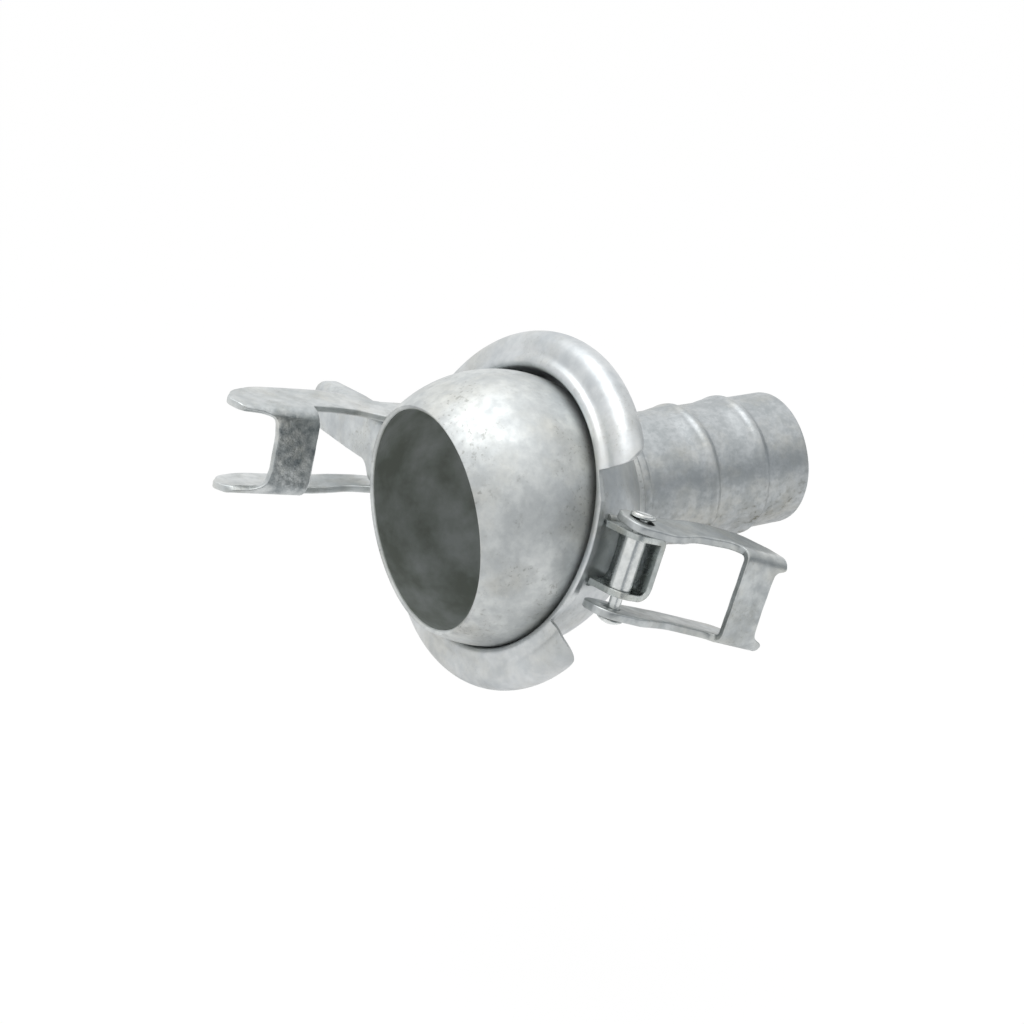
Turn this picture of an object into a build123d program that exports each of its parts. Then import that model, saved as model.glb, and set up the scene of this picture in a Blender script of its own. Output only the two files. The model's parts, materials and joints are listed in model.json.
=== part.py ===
# Ball half of a lever-type irrigation pipe coupling, with a tail for a 3 inch hose.
# Frame: the origin is the centre of the ball, X is the pipe axis and runs from the open
# mouth (-X) to the hose tail (+X), and Z is up. All sizes are in millimetres.
# A loose closing ring rides on the back of the ball. It carries a swinging hook on the
# -Y side, and a lever with a latch hook on the +Y side.
import os
from math import acos, asin, atan2, cos, degrees, hypot, radians, sin, sqrt, tan

from build123d import *

# Ball and hose tail
BALL_R = 74.0                # outside radius of the ball
WALL = 2.5                   # sheet wall of the ball and of the tail
MOUTH_X = 42.5               # the mouth is cut this far in front of the ball's centre
TAIL_R = 38.1                # outside radius of the plain tail, for a 76 mm hose
NECK_FILLET = 8.0            # radius between the ball and the neck
NECK_LEN = 7.0               # plain neck behind that fillet
TAIL_LEN = 111.0             # from the end of the neck to the end of the tail
BEAD_HEIGHT = 2.2            # the hose beads stand this much above the tail
BEAD_LEN = 21.0              # length of one hose bead
BEAD_FIRST = 42.0            # middle of the first bead, from the end of the neck
BEAD_PITCH = 34.5            # from one bead to the next
BEAD_COUNT = 2
TAIL_END_ROUND = 1.8         # rounding of the tail's outer end
SEAM_WIDTH = 6.0             # weld seam between neck and tail
SEAM_HEIGHT = 1.1

# Closing ring
RING_SHEET = 3.0             # sheet thickness of the ring
RING_GAP = 2.0               # play between the ball and the cup of the ring
CUP_REAR_DEG = 50.0          # polar angle of the cup's rear edge, from the ring's axis
CUP_FRONT_DEG = 86.0         # polar angle at which the cup turns into the nose
NOSE_R = 3.6                 # nose that the sheet makes in front of the cup
NOSE_TURN = 122.0
SLOPE_LEN = 2.2              # straight run from the nose into the valley
VALLEY_R = 4.0               # shallow valley between nose and lip
VALLEY_TURN = 40.0
LIP_R = 11.0                 # rolled lip
LIP_TURN = 113.0
NOTCH_DEPTH = 16.4           # inside the notches the sheet ends this far within the lip
NOTCH_HALF_DEG = 27.4        # half the angle of each notch at its floor
NOTCH_FLARE_DEG = 3.0        # and this much more at the lip
NOTCH_CORNER = 11.5          # rounding of the lip's free ends, seen from the front
NOTCH_ROOT = 5.0             # rounding of the notch floor's corners
END_ROUND = 18.0             # rounding of the lip's free ends, seen from outside

# How the loose ring hangs on the ball
RING_TILT = 19.7             # its top leans to the tail
RING_TURN = 6.1              # its -Y side is turned to the tail
RING_ROLL = 3.0              # it is rolled about its own axis
RING_DROP_Y = 0.5            # and it lies off the ball's centre
RING_DROP_Z = 1.4

# Brackets, welded on the ring
STRAP = 3.2                  # strap thickness
BRACKET_HALF = 16.7          # half the outer height of a bracket
PIN_X = 15.2                 # the hinge pins lie this far behind the ring's centre
PIN_Y = 96.0                 # and this far from its axis
SWING_RISE = 1.6             # the swinging hook's bracket is welded on this much high
LATCH_RISE = -1.2            # and the lever's bracket this much low
BRACKET_FRONT = 8.4          # from the pin to the front edges
BRACKET_BACK = 12.4          # from the pin to the back of the strap
BRACKET_OUT = 9.4            # from the pin to the free edge
BEND_WIDE = 7.6              # outer radius of the wide bend
BEND_TIGHT = 3.6             # outer radius of the tight bend
LATCH_LEAN = -9.8            # the bracket of the lever is welded on at this slant
LATCH_NOD = 3.8
WELD_R = 2.4                 # the weld beads fill this radius round the seam
SEAT_GAP = 0.05              # fit-up gap of the bracket on the cup

# Rivets and spacer tubes
RIVET_R = 3.2
HEAD_R = 6.5
HEAD_H = 2.8
RUN_GAP = 0.1                # radial clearance of a rivet in its holes
END_PLAY = 0.4               # the swinging hook's rivet is this much too long
FACE_GAP = 0.3               # between faces that slide past each other
SPACER_R = 5.9
SINK_R = 5.4                 # countersunk ends of the lever's rivet

# Hooks
HOOK_PLATE = 4.2             # plate thickness
EYE_IN = 20.2                # half the clear width between the plates at the pin
HOOK_IN = 21.8               # and at the web
SPLAY = 3.6                  # each plate leans out by this, because the bend springs back
EYE_R = 13.0                 # plate round the pin
JOG_START = 22.0             # the plates step out to the web's width from here on
JOG_LEN = 18.0
JOG_ROUND = 20.0
ARM_NEAR = -4.5              # edges of the arm, measured from the line through the pin
ARM_FAR = 18.0
WEB_FACE = -12.5             # outer face of the web between the plates
HOOK_REACH = 61.5            # from the pin to the web
WEB_FLARE = 7.0              # the web widens by this at each end, on either side
WEB_BEND = 6.6               # outer bend radius between web and plates
SWING_WEB = 22.0             # width of the web, on the swinging hook
LATCH_WEB = 24.6             # and on the latch hook
SWING_BEAK = 6.5             # plate beyond the web, on the swinging hook
LATCH_BEAK = 27.5            # and on the latch hook
BEAK_DROP = 20.0             # the beak's far corner starts this far before its tip
TIP_WIDTH = 8.0              # width of the blunt tip
TIP_ROUND = 3.0
BEAK_ROUND = 24.0            # rounding of the beak's back
HOOK_SWING = -7.0            # the swinging hook stands out from the ring at this angle
HOOK_SAG = 2.2               # and hangs this slack on its rivet
HOOK_NOD = 3.4
LATCH_SWING = -8.6           # the latch hook stands off the ring's axis at this angle

# Lever
LEVER_SHEET = 2.2
LEVER_LEN = 104.0            # from the lever's pin to its tip
LEVER_DEG = 91.5             # direction of the lever, from the ring's axis towards +Y
THROW = 19.5                 # from the lever's pin to the latch hook's pin
THROW_DEG = -8.0             # the latch pin lies this far round from the lever's line
EAR_R = 8.6                  # ears round the two pins
FACE_H = 18.0                # height of the lever's face above its pin, at the root
TIP_H = 8.0                  # and at the tip
RIM_H = 8.0                  # depth of the turned-down rim at the tip
GRIP_WIDTH = 29.6            # width of the grip
GRIP_RISE = 6.2              # the grip starts this much above the middle between the ears
TIP_RISE = 3.6               # and still lies this much above it at the tip
FACE_ROUND = 4.0             # rounding between face and rim
FACE_BOW = 1.5               # the face has dropped this much where it starts to taper
FACE_CURVE = 80.0            # radius of the face's long bend
ROOT_CURVE = 6.0             # and of its bend at the root
EDGE_CURVE = 1.0             # rounding of the sheet's plain corners

# Values that follow from the sizes above
NECK_X = sqrt((BALL_R + NECK_FILLET) ** 2 - (TAIL_R + NECK_FILLET) ** 2)
TAIL_X = NECK_X + NECK_LEN
TAIL_END = TAIL_X + TAIL_LEN
CUP_R = BALL_R + RING_GAP
CUP_OUT = CUP_R + RING_SHEET
LEVER_IN = BRACKET_HALF + FACE_GAP
LEVER_OUT = LEVER_IN + LEVER_SHEET
HOOK_OUT = HOOK_IN + HOOK_PLATE
EYE_OUT = EYE_IN + HOOK_PLATE
SPLAY_RISE = tan(radians(SPLAY))
SLACK = radians(hypot(HOOK_SAG, HOOK_NOD))
SLACK_HOLE_R = RIVET_R + RUN_GAP + (EYE_OUT + EYE_R * SPLAY_RISE) * sin(SLACK)
HOOK_TOP = BRACKET_HALF + FACE_GAP + (EYE_R + STRAP) * sin(SLACK) + EYE_R * SPLAY_RISE
HOOK_SLIDE = EYE_IN - HOOK_TOP
HEAD_GAP = FACE_GAP + HEAD_R * SPLAY_RISE
SWING_HEAD = HOOK_TOP + HOOK_PLATE + HEAD_GAP + HEAD_R * sin(SLACK)
SWING_FOOT = EYE_OUT + HOOK_SLIDE + HEAD_GAP + HEAD_R * sin(SLACK) + END_PLAY

# Frames of the moving groups
RING_FRAME = Pos(0, RING_DROP_Y, RING_DROP_Z) * Rot(0, 0, RING_TURN) * Rot(0, RING_TILT, 0) * Rot(RING_ROLL, 0, 0)
SWING_PIN = Pos(PIN_X, -PIN_Y, SWING_RISE)
SWING_HOOK = SWING_PIN * Pos(0, 0, -HOOK_SLIDE) * Rot(0, 0, HOOK_SWING) * Rot(0, HOOK_SAG, 0) * Rot(HOOK_NOD, 0, 0)
LATCH_PIN = Pos(PIN_X, PIN_Y, LATCH_RISE) * Rot(0, LATCH_LEAN, 0) * Rot(LATCH_NOD, 0, 0)
LEVER = LATCH_PIN * Rot(0, 0, LEVER_DEG)
THROW_X = THROW * cos(radians(THROW_DEG))
THROW_Y = THROW * sin(radians(THROW_DEG))
LATCH_HOOK = LEVER * Pos(THROW_X, THROW_Y, 0) * Rot(0, 0, LATCH_SWING - LEVER_DEG) * Rot(0, 180, 0)


def sheet_section(path, thickness, side):
    """Closed section of a sheet that follows a chain of tangent edges."""
    return make_face(Wire(path).offset_2d(thickness, kind=Kind.TANGENT, side=side, closed=True))


def turned(section):
    """Solid of revolution about the X axis."""
    return revolve(section, Axis.X, 360)


def prism(outline, low, high):
    """Straight solid over an outline in the XY plane, from one height to another."""
    return Pos(0, 0, low) * extrude(outline, high - low)


def rod(radius, low, high):
    """Round bar along Z."""
    return Pos(0, 0, low) * Cylinder(radius, high - low, align=(Align.CENTER, Align.CENTER, Align.MIN))


def ball_shell():
    """Pressed ball, cut off at the mouth and drawn in to the neck."""
    blend = degrees(asin((TAIL_R + NECK_FILLET) / (BALL_R + NECK_FILLET)))
    mouth = degrees(acos(-MOUTH_X / BALL_R))
    dome = CenterArc((0, 0), BALL_R, mouth, blend - mouth)
    throat = CenterArc((NECK_X, TAIL_R + NECK_FILLET), NECK_FILLET, 180 + blend, 90 - blend)
    neck = Line((NECK_X, TAIL_R), (TAIL_X, TAIL_R))
    shell = turned(sheet_section([dome, throat, neck], WALL, Side.RIGHT))
    front = Pos(-MOUTH_X, 0, 0) * Box(BALL_R, 3 * BALL_R, 3 * BALL_R, align=(Align.MAX, Align.CENTER, Align.CENTER))
    return shell - front


def tail_pipe():
    """Hose tail with its rolled beads and a rounded end."""
    half = BEAD_LEN / 2
    bend_r = (half ** 2 + BEAD_HEIGHT ** 2) / (4 * BEAD_HEIGHT)
    bend = 2 * degrees(atan2(BEAD_HEIGHT, half))
    path = []
    start = Vector(TAIL_X, TAIL_R)
    for index in range(BEAD_COUNT):
        foot = TAIL_X + BEAD_FIRST + index * BEAD_PITCH - half
        path.append(Line(start, (foot, TAIL_R)))
        for turn in (bend, -2 * bend, bend):
            path.append(JernArc(path[-1] @ 1, path[-1] % 1, bend_r, turn))
        start = path[-1] @ 1
    path.append(Line(start, (TAIL_END, TAIL_R)))
    pipe = turned(sheet_section(path, WALL, Side.RIGHT))
    rim = pipe.edges().filter_by(GeomType.CIRCLE).filter_by_position(Axis.X, TAIL_END - 0.01, TAIL_END + 0.01)
    return fillet(rim.sort_by(SortBy.RADIUS)[-1], TAIL_END_ROUND)


def neck_seam():
    """Low weld bead that closes the joint of neck and tail."""
    half = SEAM_WIDTH / 2
    crown = ThreePointArc((TAIL_X - half, TAIL_R), (TAIL_X, TAIL_R + SEAM_HEIGHT), (TAIL_X + half, TAIL_R))
    return turned(make_face([crown, Line(crown @ 1, crown @ 0)]))


def closing_ring():
    """Pressed ring: cup on the ball, nose, valley and rolled lip, with two notches."""
    cup = CenterArc((0, 0), CUP_R, CUP_REAR_DEG, CUP_FRONT_DEG - CUP_REAR_DEG)
    nose = JernArc(cup @ 1, cup % 1, NOSE_R, -NOSE_TURN)
    slope = Line(nose @ 1, (nose @ 1) + (nose % 1) * SLOPE_LEN)
    valley = JernArc(slope @ 1, slope % 1, VALLEY_R, VALLEY_TURN)
    lip = JernArc(valley @ 1, valley % 1, LIP_R, -LIP_TURN)
    ring = turned(sheet_section([cup, nose, slope, valley, lip], RING_SHEET, Side.RIGHT))
    edge_r = ring.bounding_box().max.Z + SEAT_GAP
    ring &= Plane.YZ * extrude(ring_silhouette(edge_r), 2 * CUP_OUT, both=True)
    for side in (-1, 1):
        for up in (-1, 1):
            ring -= lip_corner(side, up, edge_r, (lip @ 1).X)
    return ring


def lip_corner(side, up, edge_r, back_x):
    """Wedge that rounds one free end of the rolled lip, seen from outside the ring."""
    angle = radians(NOTCH_HALF_DEG + NOTCH_FLARE_DEG)
    outward = Vector(0, side * cos(angle), up * sin(angle))
    along = Vector(0, -side * sin(angle), up * cos(angle))
    hand = side * up
    centre = Pos(END_ROUND, hand * (back_x - END_ROUND))
    reach = 2 * END_ROUND
    quarter = (Align.MAX, Align.MIN if hand > 0 else Align.MAX)
    wedge = centre * Rectangle(reach, reach, align=quarter) - centre * Circle(END_ROUND)
    tool = Plane(outward * edge_r, x_dir=along, z_dir=outward)
    return tool * extrude(wedge, END_ROUND, both=True)


def ring_silhouette(edge_r):
    """Front view of the ring: a disc with a rounded notch for each bracket."""
    disc = Circle(edge_r)
    half = radians(NOTCH_HALF_DEG)
    flare = radians(NOTCH_HALF_DEG + NOTCH_FLARE_DEG)
    past = 1.3 * edge_r
    floor_r = edge_r - NOTCH_DEPTH
    floor = Circle(floor_r)
    foot_x = floor_r * cos(half)
    foot_y = floor_r * sin(half)
    edge_x = edge_r * cos(flare)
    edge_y = edge_r * sin(flare)
    stretch = (past - foot_x) / (edge_x - foot_x)
    past_y = foot_y + (edge_y - foot_y) * stretch
    for side in (-1, 1):
        gap = Polygon((0, 0), (side * foot_x, foot_y), (side * past, past_y), (side * past, -past_y),
                      (side * foot_x, -foot_y), align=None)
        disc -= gap - floor
    corners = disc.vertices().filter_by(lambda v: abs(hypot(v.X, v.Y) - edge_r) < 0.01)
    disc = fillet(corners, NOTCH_CORNER)
    roots = disc.vertices().filter_by(lambda v: abs(hypot(v.X, v.Y) - floor_r) < 0.01)
    return fillet(roots, NOTCH_ROOT)


def seat_on_ring():
    """Space that the cup and its nose take up, which the brackets are cut to fit."""
    seat_r = CUP_OUT + SEAT_GAP
    floor_r = CUP_OUT + NOSE_R
    nose_back = CUP_R * cos(radians(CUP_FRONT_DEG)) + RING_SHEET
    step_r = sqrt(seat_r ** 2 - nose_back ** 2)
    wall = ThreePointArc((nose_back, step_r), (seat_r * cos(radians(45)), seat_r * sin(radians(45))), (seat_r, 0))
    step = Polyline((seat_r, 0), (-CUP_OUT, 0), (-CUP_OUT, floor_r), (nose_back, floor_r), (nose_back, step_r))
    return turned(make_face([wall, *step.edges()]))


def bracket(pin, outward):
    """Strap bent to a U, open to the front and outwards, with the pin at its origin."""
    path = FilletPolyline((-BRACKET_FRONT, -BRACKET_HALF), (BRACKET_BACK, -BRACKET_HALF),
                          (BRACKET_BACK, BRACKET_HALF), (-BRACKET_FRONT, BRACKET_HALF),
                          radius=[BEND_WIDE, BEND_TIGHT])
    section = Plane.XZ * sheet_section(path.edges(), STRAP, Side.LEFT)
    inner = PIN_Y - CUP_OUT / 2
    length = inner + BRACKET_OUT
    strap = Pos(0, outward * BRACKET_OUT, 0) * extrude(section, outward * length)
    plan = Pos((BRACKET_BACK - BRACKET_FRONT) / 2, outward * (BRACKET_OUT - inner) / 2) * Rectangle(
        BRACKET_FRONT + BRACKET_BACK, length)
    corner = plan.vertices().sort_by_distance((-BRACKET_FRONT, outward * BRACKET_OUT))[0]
    strap &= prism(fillet(corner, BRACKET_FRONT), -2 * BRACKET_HALF, 2 * BRACKET_HALF)
    strap -= rod(RIVET_R + RUN_GAP, -2 * BRACKET_HALF, 2 * BRACKET_HALF)
    return pin * strap - seat_on_ring()


def bracket_welds(pin, strap):
    """Two fillet welds, one along each leg where it stands on the cup."""
    frame = Plane(pin)
    centre = frame.to_local_coords(Vector(0, 0, 0))
    beads = Part()
    for side in (-1, 1):
        height = side * BRACKET_HALF - centre.Z
        seam_r = sqrt(CUP_OUT ** 2 - height ** 2)
        toward = 90 if centre.Y < 0 else -90
        first = degrees(asin((-BRACKET_FRONT + 2 * WELD_R - centre.X) / seam_r))
        last = degrees(asin((BRACKET_BACK - BEND_WIDE - centre.X) / seam_r))
        disc = Plane.XZ * (Pos(seam_r, height) * Circle(WELD_R))
        bead = revolve(disc, Axis.Z, last - first)
        turn = toward - last if toward > 0 else toward + first
        beads += pin * Pos(centre) * Rot(0, 0, turn) * bead
    return beads - Sphere(CUP_OUT) - strap


def spacer():
    """Tube on the rivet between the legs of a bracket."""
    half = BRACKET_HALF - STRAP - FACE_GAP / 2
    return rod(SPACER_R, -half, half) - rod(RIVET_R + RUN_GAP, -half, half)


def head(dome):
    """Rivet head that stands on the XY plane, flat with a rounded rim or domed."""
    blank = rod(HEAD_R, 0, HEAD_H)
    rim = blank.edges().filter_by(GeomType.CIRCLE).sort_by(Axis.Z)[-1]
    return fillet(rim, HEAD_H * dome)


def rivet(low, high):
    """Rivet along Z between two heads: a flat one on top and a domed one below."""
    shank = rod(RIVET_R, low, high)
    top = Pos(0, 0, high) * head(0.25)
    bottom = Pos(0, 0, low) * Rot(180, 0, 0) * head(0.8)
    return shank + top + bottom


def hook_plan(web, beak):
    """Plan of a hook's plate: eye, arm, flare into the web's face, and beak."""
    web_end = HOOK_REACH + web
    tip = web_end + beak
    blunt = WEB_FACE + TIP_WIDTH
    corners = [(-EYE_R, -EYE_R), (EYE_R, -EYE_R), (2.5 * EYE_R, ARM_NEAR), (HOOK_REACH - WEB_FLARE, ARM_NEAR),
               (HOOK_REACH, WEB_FACE), (tip, WEB_FACE), (tip, blunt), (tip - BEAK_DROP, ARM_FAR),
               (3 * EYE_R, ARM_FAR), (EYE_R, EYE_R), (-EYE_R, EYE_R)]
    rounds = [EYE_R - 0.2, EYE_R, 2 * EYE_R, WEB_FLARE / 2, WEB_FLARE / 2, TIP_ROUND, TIP_ROUND, BEAK_ROUND,
              2 * EYE_R, EYE_R / 2, EYE_R - 0.2]
    return make_face(FilletPolyline(*corners, radius=rounds, close=True))


def hook_plate(side, length):
    """One plate of a hook before it is cut to its plan, stepped at the eye and splayed."""
    eye = EYE_OUT + WEB_FACE * SPLAY_RISE
    line = FilletPolyline((-2 * EYE_R, side * eye), (JOG_START, side * eye),
                          (JOG_START + JOG_LEN, side * HOOK_OUT), (length, side * HOOK_OUT), radius=JOG_ROUND)
    section = sheet_section(line.edges(), HOOK_PLATE, Side.RIGHT if side > 0 else Side.LEFT)
    leaf = extrude(Plane.XZ * section, 3 * ARM_FAR, both=True)
    hinge = Pos(0, WEB_FACE, side * HOOK_OUT)
    return hinge * Rot(side * SPLAY, 0, 0) * hinge.inverse() * leaf


def hook(web, beak, hole_r):
    """Hook bent from sheet: two plates and a web, with the pin at its origin."""
    web_end = HOOK_REACH + web
    leg = HOOK_OUT - WEB_FACE * SPLAY_RISE
    path = FilletPolyline((0, -leg), (WEB_FACE, -HOOK_OUT), (WEB_FACE, HOOK_OUT), (0, leg), radius=WEB_BEND)
    channel = Plane.YZ * sheet_section(path.edges(), HOOK_PLATE, Side.RIGHT)
    plan = hook_plan(web, beak)
    solid = Pos(HOOK_REACH - WEB_FLARE, 0, 0) * extrude(channel, web + 2 * WEB_FLARE)
    solid &= prism(plan, -2 * HOOK_OUT, 2 * HOOK_OUT)
    bend = Pos((HOOK_REACH + web_end) / 2, WEB_FACE) * Rectangle(web + 2 * WEB_FLARE, 2 * WEB_BEND)
    for side in (-1, 1):
        solid += hook_plate(side, web_end + 2 * beak) & prism(plan - bend, -2 * HOOK_OUT, 2 * HOOK_OUT)
    for edge, way in ((HOOK_REACH, -1), (web_end, 1)):
        opening = Rectangle(2 * WEB_FLARE, 2 * HOOK_IN, align=(Align.MAX if way < 0 else Align.MIN, Align.CENTER))
        opening = fillet(opening.vertices().filter_by_position(Axis.X, -0.01, 0.01), WEB_FLARE)
        room = extrude(Plane.XZ * opening, WEB_BEND, both=True)
        solid -= Pos(edge, WEB_FACE, 0) * room
    return solid - rod(hole_r, -2 * HOOK_OUT, 2 * HOOK_OUT)


def lever_face(inset):
    """Upper side of the lever in side view, from past the tip to the root."""
    return [(LEVER_LEN + EAR_R, TIP_H - inset), (THROW_X + 3 * EAR_R, FACE_H - FACE_BOW - inset),
            (THROW_X - EAR_R, FACE_H - inset)]


def lever_form(side, inset):
    """Side outline of the lever, cut to its plan and rounded along the upper edges."""
    half = LEVER_OUT - inset
    tip = LEVER_LEN - inset
    grip = GRIP_WIDTH / 2 - inset
    body = prism(make_face(side), -2 * half, 2 * half)
    neck = THROW_X + 2 * EAR_R
    plan = FilletPolyline(
        (-4 * EAR_R, -half), (THROW_X, -half), (neck, GRIP_RISE - grip), (tip, TIP_RISE - grip),
        (tip, TIP_RISE + grip), (THROW_X, half), (-4 * EAR_R, half),
        radius=[EDGE_CURVE, 2 * EAR_R, 2 * EAR_R, grip - EDGE_CURVE, grip - EDGE_CURVE, 3 * neck, EDGE_CURVE],
        close=True)
    body &= Pos(0, 3 * FACE_H, 0) * extrude(Plane.XZ * make_face(plan), 6 * FACE_H)
    top = body.faces().filter_by(lambda face: face.normal_at().Y > 0.7)
    rims = top.edges().filter_by(lambda edge: abs(edge.tangent_at(0.5).Z) < 0.95 or edge.center().X > tip - 0.1)
    return fillet(rims, FACE_ROUND - inset)


def lever_handle():
    """Pressed lever: a channel, open below, with the ears for its two pins at the root."""
    ears = FilletPolyline(
        (-EAR_R, -EAR_R), (THROW_X, -EAR_R), (THROW_X + 2 * EAR_R, (TIP_H - RIM_H) / 2),
        (LEVER_LEN + EAR_R, TIP_H - RIM_H), *lever_face(0), (-EAR_R, EAR_R),
        radius=[EAR_R - 0.2, EAR_R, 2 * EAR_R, EDGE_CURVE, EDGE_CURVE, FACE_CURVE, ROOT_CURVE, EAR_R - 0.6],
        close=True)
    room = FilletPolyline(
        (-3 * EAR_R, -3 * EAR_R), (LEVER_LEN + EAR_R, -3 * EAR_R), *lever_face(LEVER_SHEET),
        (-3 * EAR_R, FACE_H - LEVER_SHEET),
        radius=[EDGE_CURVE, EDGE_CURVE, EDGE_CURVE, FACE_CURVE, ROOT_CURVE, EDGE_CURVE], close=True)
    solid = lever_form(ears, 0) - lever_form(room, LEVER_SHEET) - flush_rivet()
    return solid - Pos(THROW_X, THROW_Y, 0) * rod(RIVET_R + RUN_GAP, -2 * LEVER_OUT, 2 * LEVER_OUT)


def flush_rivet():
    """Rivet of the lever, countersunk so that the hook's plates can swing across it."""
    depth = SINK_R - RIVET_R
    cone = Cone(RIVET_R, SINK_R, depth, align=(Align.CENTER, Align.CENTER, Align.MAX))
    top = Pos(0, 0, LEVER_OUT) * cone
    bottom = Pos(0, 0, -LEVER_OUT) * Rot(180, 0, 0) * cone
    return rod(RIVET_R, -LEVER_OUT, LEVER_OUT) + top + bottom


def build_model():
    """Every piece of the coupling in its place, under its own name."""
    pieces = {"ball": ball_shell(), "hose_tail": tail_pipe(), "neck_weld": neck_seam()}
    on_ring = {"closing_ring": closing_ring()}
    for name, pin, outward in (("hook", SWING_PIN, -1), ("lever", LATCH_PIN, 1)):
        strap = bracket(pin, outward)
        on_ring[f"{name}_bracket"] = strap
        on_ring[f"{name}_bracket_welds"] = bracket_welds(pin, strap)
        on_ring[f"{name}_sleeve"] = pin * spacer()
    on_ring["hook_rivet"] = SWING_PIN * rivet(-SWING_FOOT, SWING_HEAD)
    on_ring["swing_hook"] = SWING_HOOK * hook(SWING_WEB, SWING_BEAK, SLACK_HOLE_R)
    on_ring["lever_handle"] = LEVER * lever_handle()
    on_ring["lever_rivet"] = LEVER * flush_rivet()
    latch_head = EYE_OUT + HEAD_GAP
    on_ring["latch_rivet"] = LATCH_HOOK * rivet(-latch_head, latch_head)
    on_ring["latch_hook"] = LATCH_HOOK * hook(LATCH_WEB, LATCH_BEAK, RIVET_R + RUN_GAP)
    for name, piece in on_ring.items():
        pieces[name] = RING_FRAME * piece
    return pieces


os.makedirs("parts", exist_ok=True)
pieces = build_model()
for name, piece in pieces.items():
    export_step(piece, f"parts/{name}.step")
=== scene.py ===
"""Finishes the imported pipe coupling: its zinc, beaded tail, bent hooks and pressed lever, and its studio."""

import json
import logging
import math
from collections import Counter
from dataclasses import dataclass, field
from enum import Enum

import bpy
from mathutils import Matrix, Vector, kdtree, noise
from mathutils.geometry import delaunay_2d_cdt

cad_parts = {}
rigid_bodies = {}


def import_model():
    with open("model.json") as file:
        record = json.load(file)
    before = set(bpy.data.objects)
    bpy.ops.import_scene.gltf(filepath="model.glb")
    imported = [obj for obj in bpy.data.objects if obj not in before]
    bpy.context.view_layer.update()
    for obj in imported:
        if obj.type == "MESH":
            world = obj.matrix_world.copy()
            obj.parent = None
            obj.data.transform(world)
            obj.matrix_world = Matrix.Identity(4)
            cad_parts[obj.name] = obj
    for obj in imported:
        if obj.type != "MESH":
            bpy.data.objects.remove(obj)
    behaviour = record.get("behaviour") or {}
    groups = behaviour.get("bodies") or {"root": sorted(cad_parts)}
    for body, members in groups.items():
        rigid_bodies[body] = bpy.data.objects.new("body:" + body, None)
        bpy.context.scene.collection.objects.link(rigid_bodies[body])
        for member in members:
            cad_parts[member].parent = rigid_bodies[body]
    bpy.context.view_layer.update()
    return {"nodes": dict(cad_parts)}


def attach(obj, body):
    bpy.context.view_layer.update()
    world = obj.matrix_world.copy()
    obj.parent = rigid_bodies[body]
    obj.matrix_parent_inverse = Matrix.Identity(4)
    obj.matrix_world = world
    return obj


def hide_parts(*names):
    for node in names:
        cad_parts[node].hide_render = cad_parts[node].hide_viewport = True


MM = 0.001
LOG = logging.getLogger("pipe_coupling")

Tree = bpy.types.NodeTree
Socket = bpy.types.NodeSocket
# A corner of an outline and the radius that rounds it, in millimetres.
Corner = tuple[float, float, float]

for start_object in list(bpy.data.objects):
    bpy.data.objects.remove(start_object)
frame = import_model()


def linear(hex_colour: str) -> tuple[float, float, float, float]:
    """Turns an sRGB hex colour into the linear values that a shader socket takes.

    Args:
        hex_colour: The colour as "#RRGGBB".

    Returns:
        Its linear red, green and blue, and an alpha of 1.
    """
    parts = [int(hex_colour[i:i + 2], 16) / 255 for i in (1, 3, 5)]
    curve = [v / 12.92 if v <= 0.04045 else ((v + 0.055) / 1.055) ** 2.4 for v in parts]
    return (curve[0], curve[1], curve[2], 1.0)


def add_node(tree: Tree, kind: str, values: dict | None = None, links: dict | None = None) -> bpy.types.Node:
    """Adds one node, sets it and links it.

    Args:
        tree: The node tree that gets the node.
        kind: The node's type name.
        values: Its attributes by name, and its sockets' values by name or number.
        links: The sockets that feed it, by the name or number of its own socket.

    Returns:
        The new node.
    """
    node = tree.nodes.new(kind)
    for key, value in (values or {}).items():
        if isinstance(key, str) and hasattr(node, key):
            setattr(node, key, value)
        else:
            node.inputs[key].default_value = value
    for key, socket in (links or {}).items():
        tree.links.new(socket, node.inputs[key])
    return node


def blank_material(name: str) -> bpy.types.Material:
    """Starts a material with an empty node tree.

    Args:
        name: The material's name.

    Returns:
        The material.
    """
    material = bpy.data.materials.new(name)
    material.use_nodes = True
    material.node_tree.nodes.clear()
    return material


# A Mix node keeps its own sockets for each kind of value. These are the ones that mix colours.
SHARE, COLOUR_A, COLOUR_B, COLOUR_OUT = 0, 6, 7, 2
# The attribute in which a hook says how far each point belongs to its rough web.
WEB_SHARE = "web_share"


@dataclass(frozen=True)
class Blotches:
    """How one layer of blotches breaks up: how ragged they are, and the noise where they begin and end."""

    detail: float
    low: float
    high: float


CLOUDS = Blotches(6.0, 0.36, 0.66)
MOTTLES = Blotches(4.0, 0.38, 0.64)
WARM_PATCHES = Blotches(7.0, 0.48, 0.66)
SMUDGES = Blotches(12.0, 0.50, 0.57)
DROSS = Blotches(5.0, 0.50, 0.60)
SPECKS = Blotches(4.0, 0.57, 0.63)
OXIDE_SPOTS = Blotches(7.0, 0.34, 0.62)
CRUST_SPOTS = Blotches(9.0, 0.36, 0.66)


class Hollow(Enum):
    """Which kind of inner wall a piece has, where the zinc stays duller."""

    NONE = "none"
    BALL = "ball"
    PIPE = "pipe"


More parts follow.
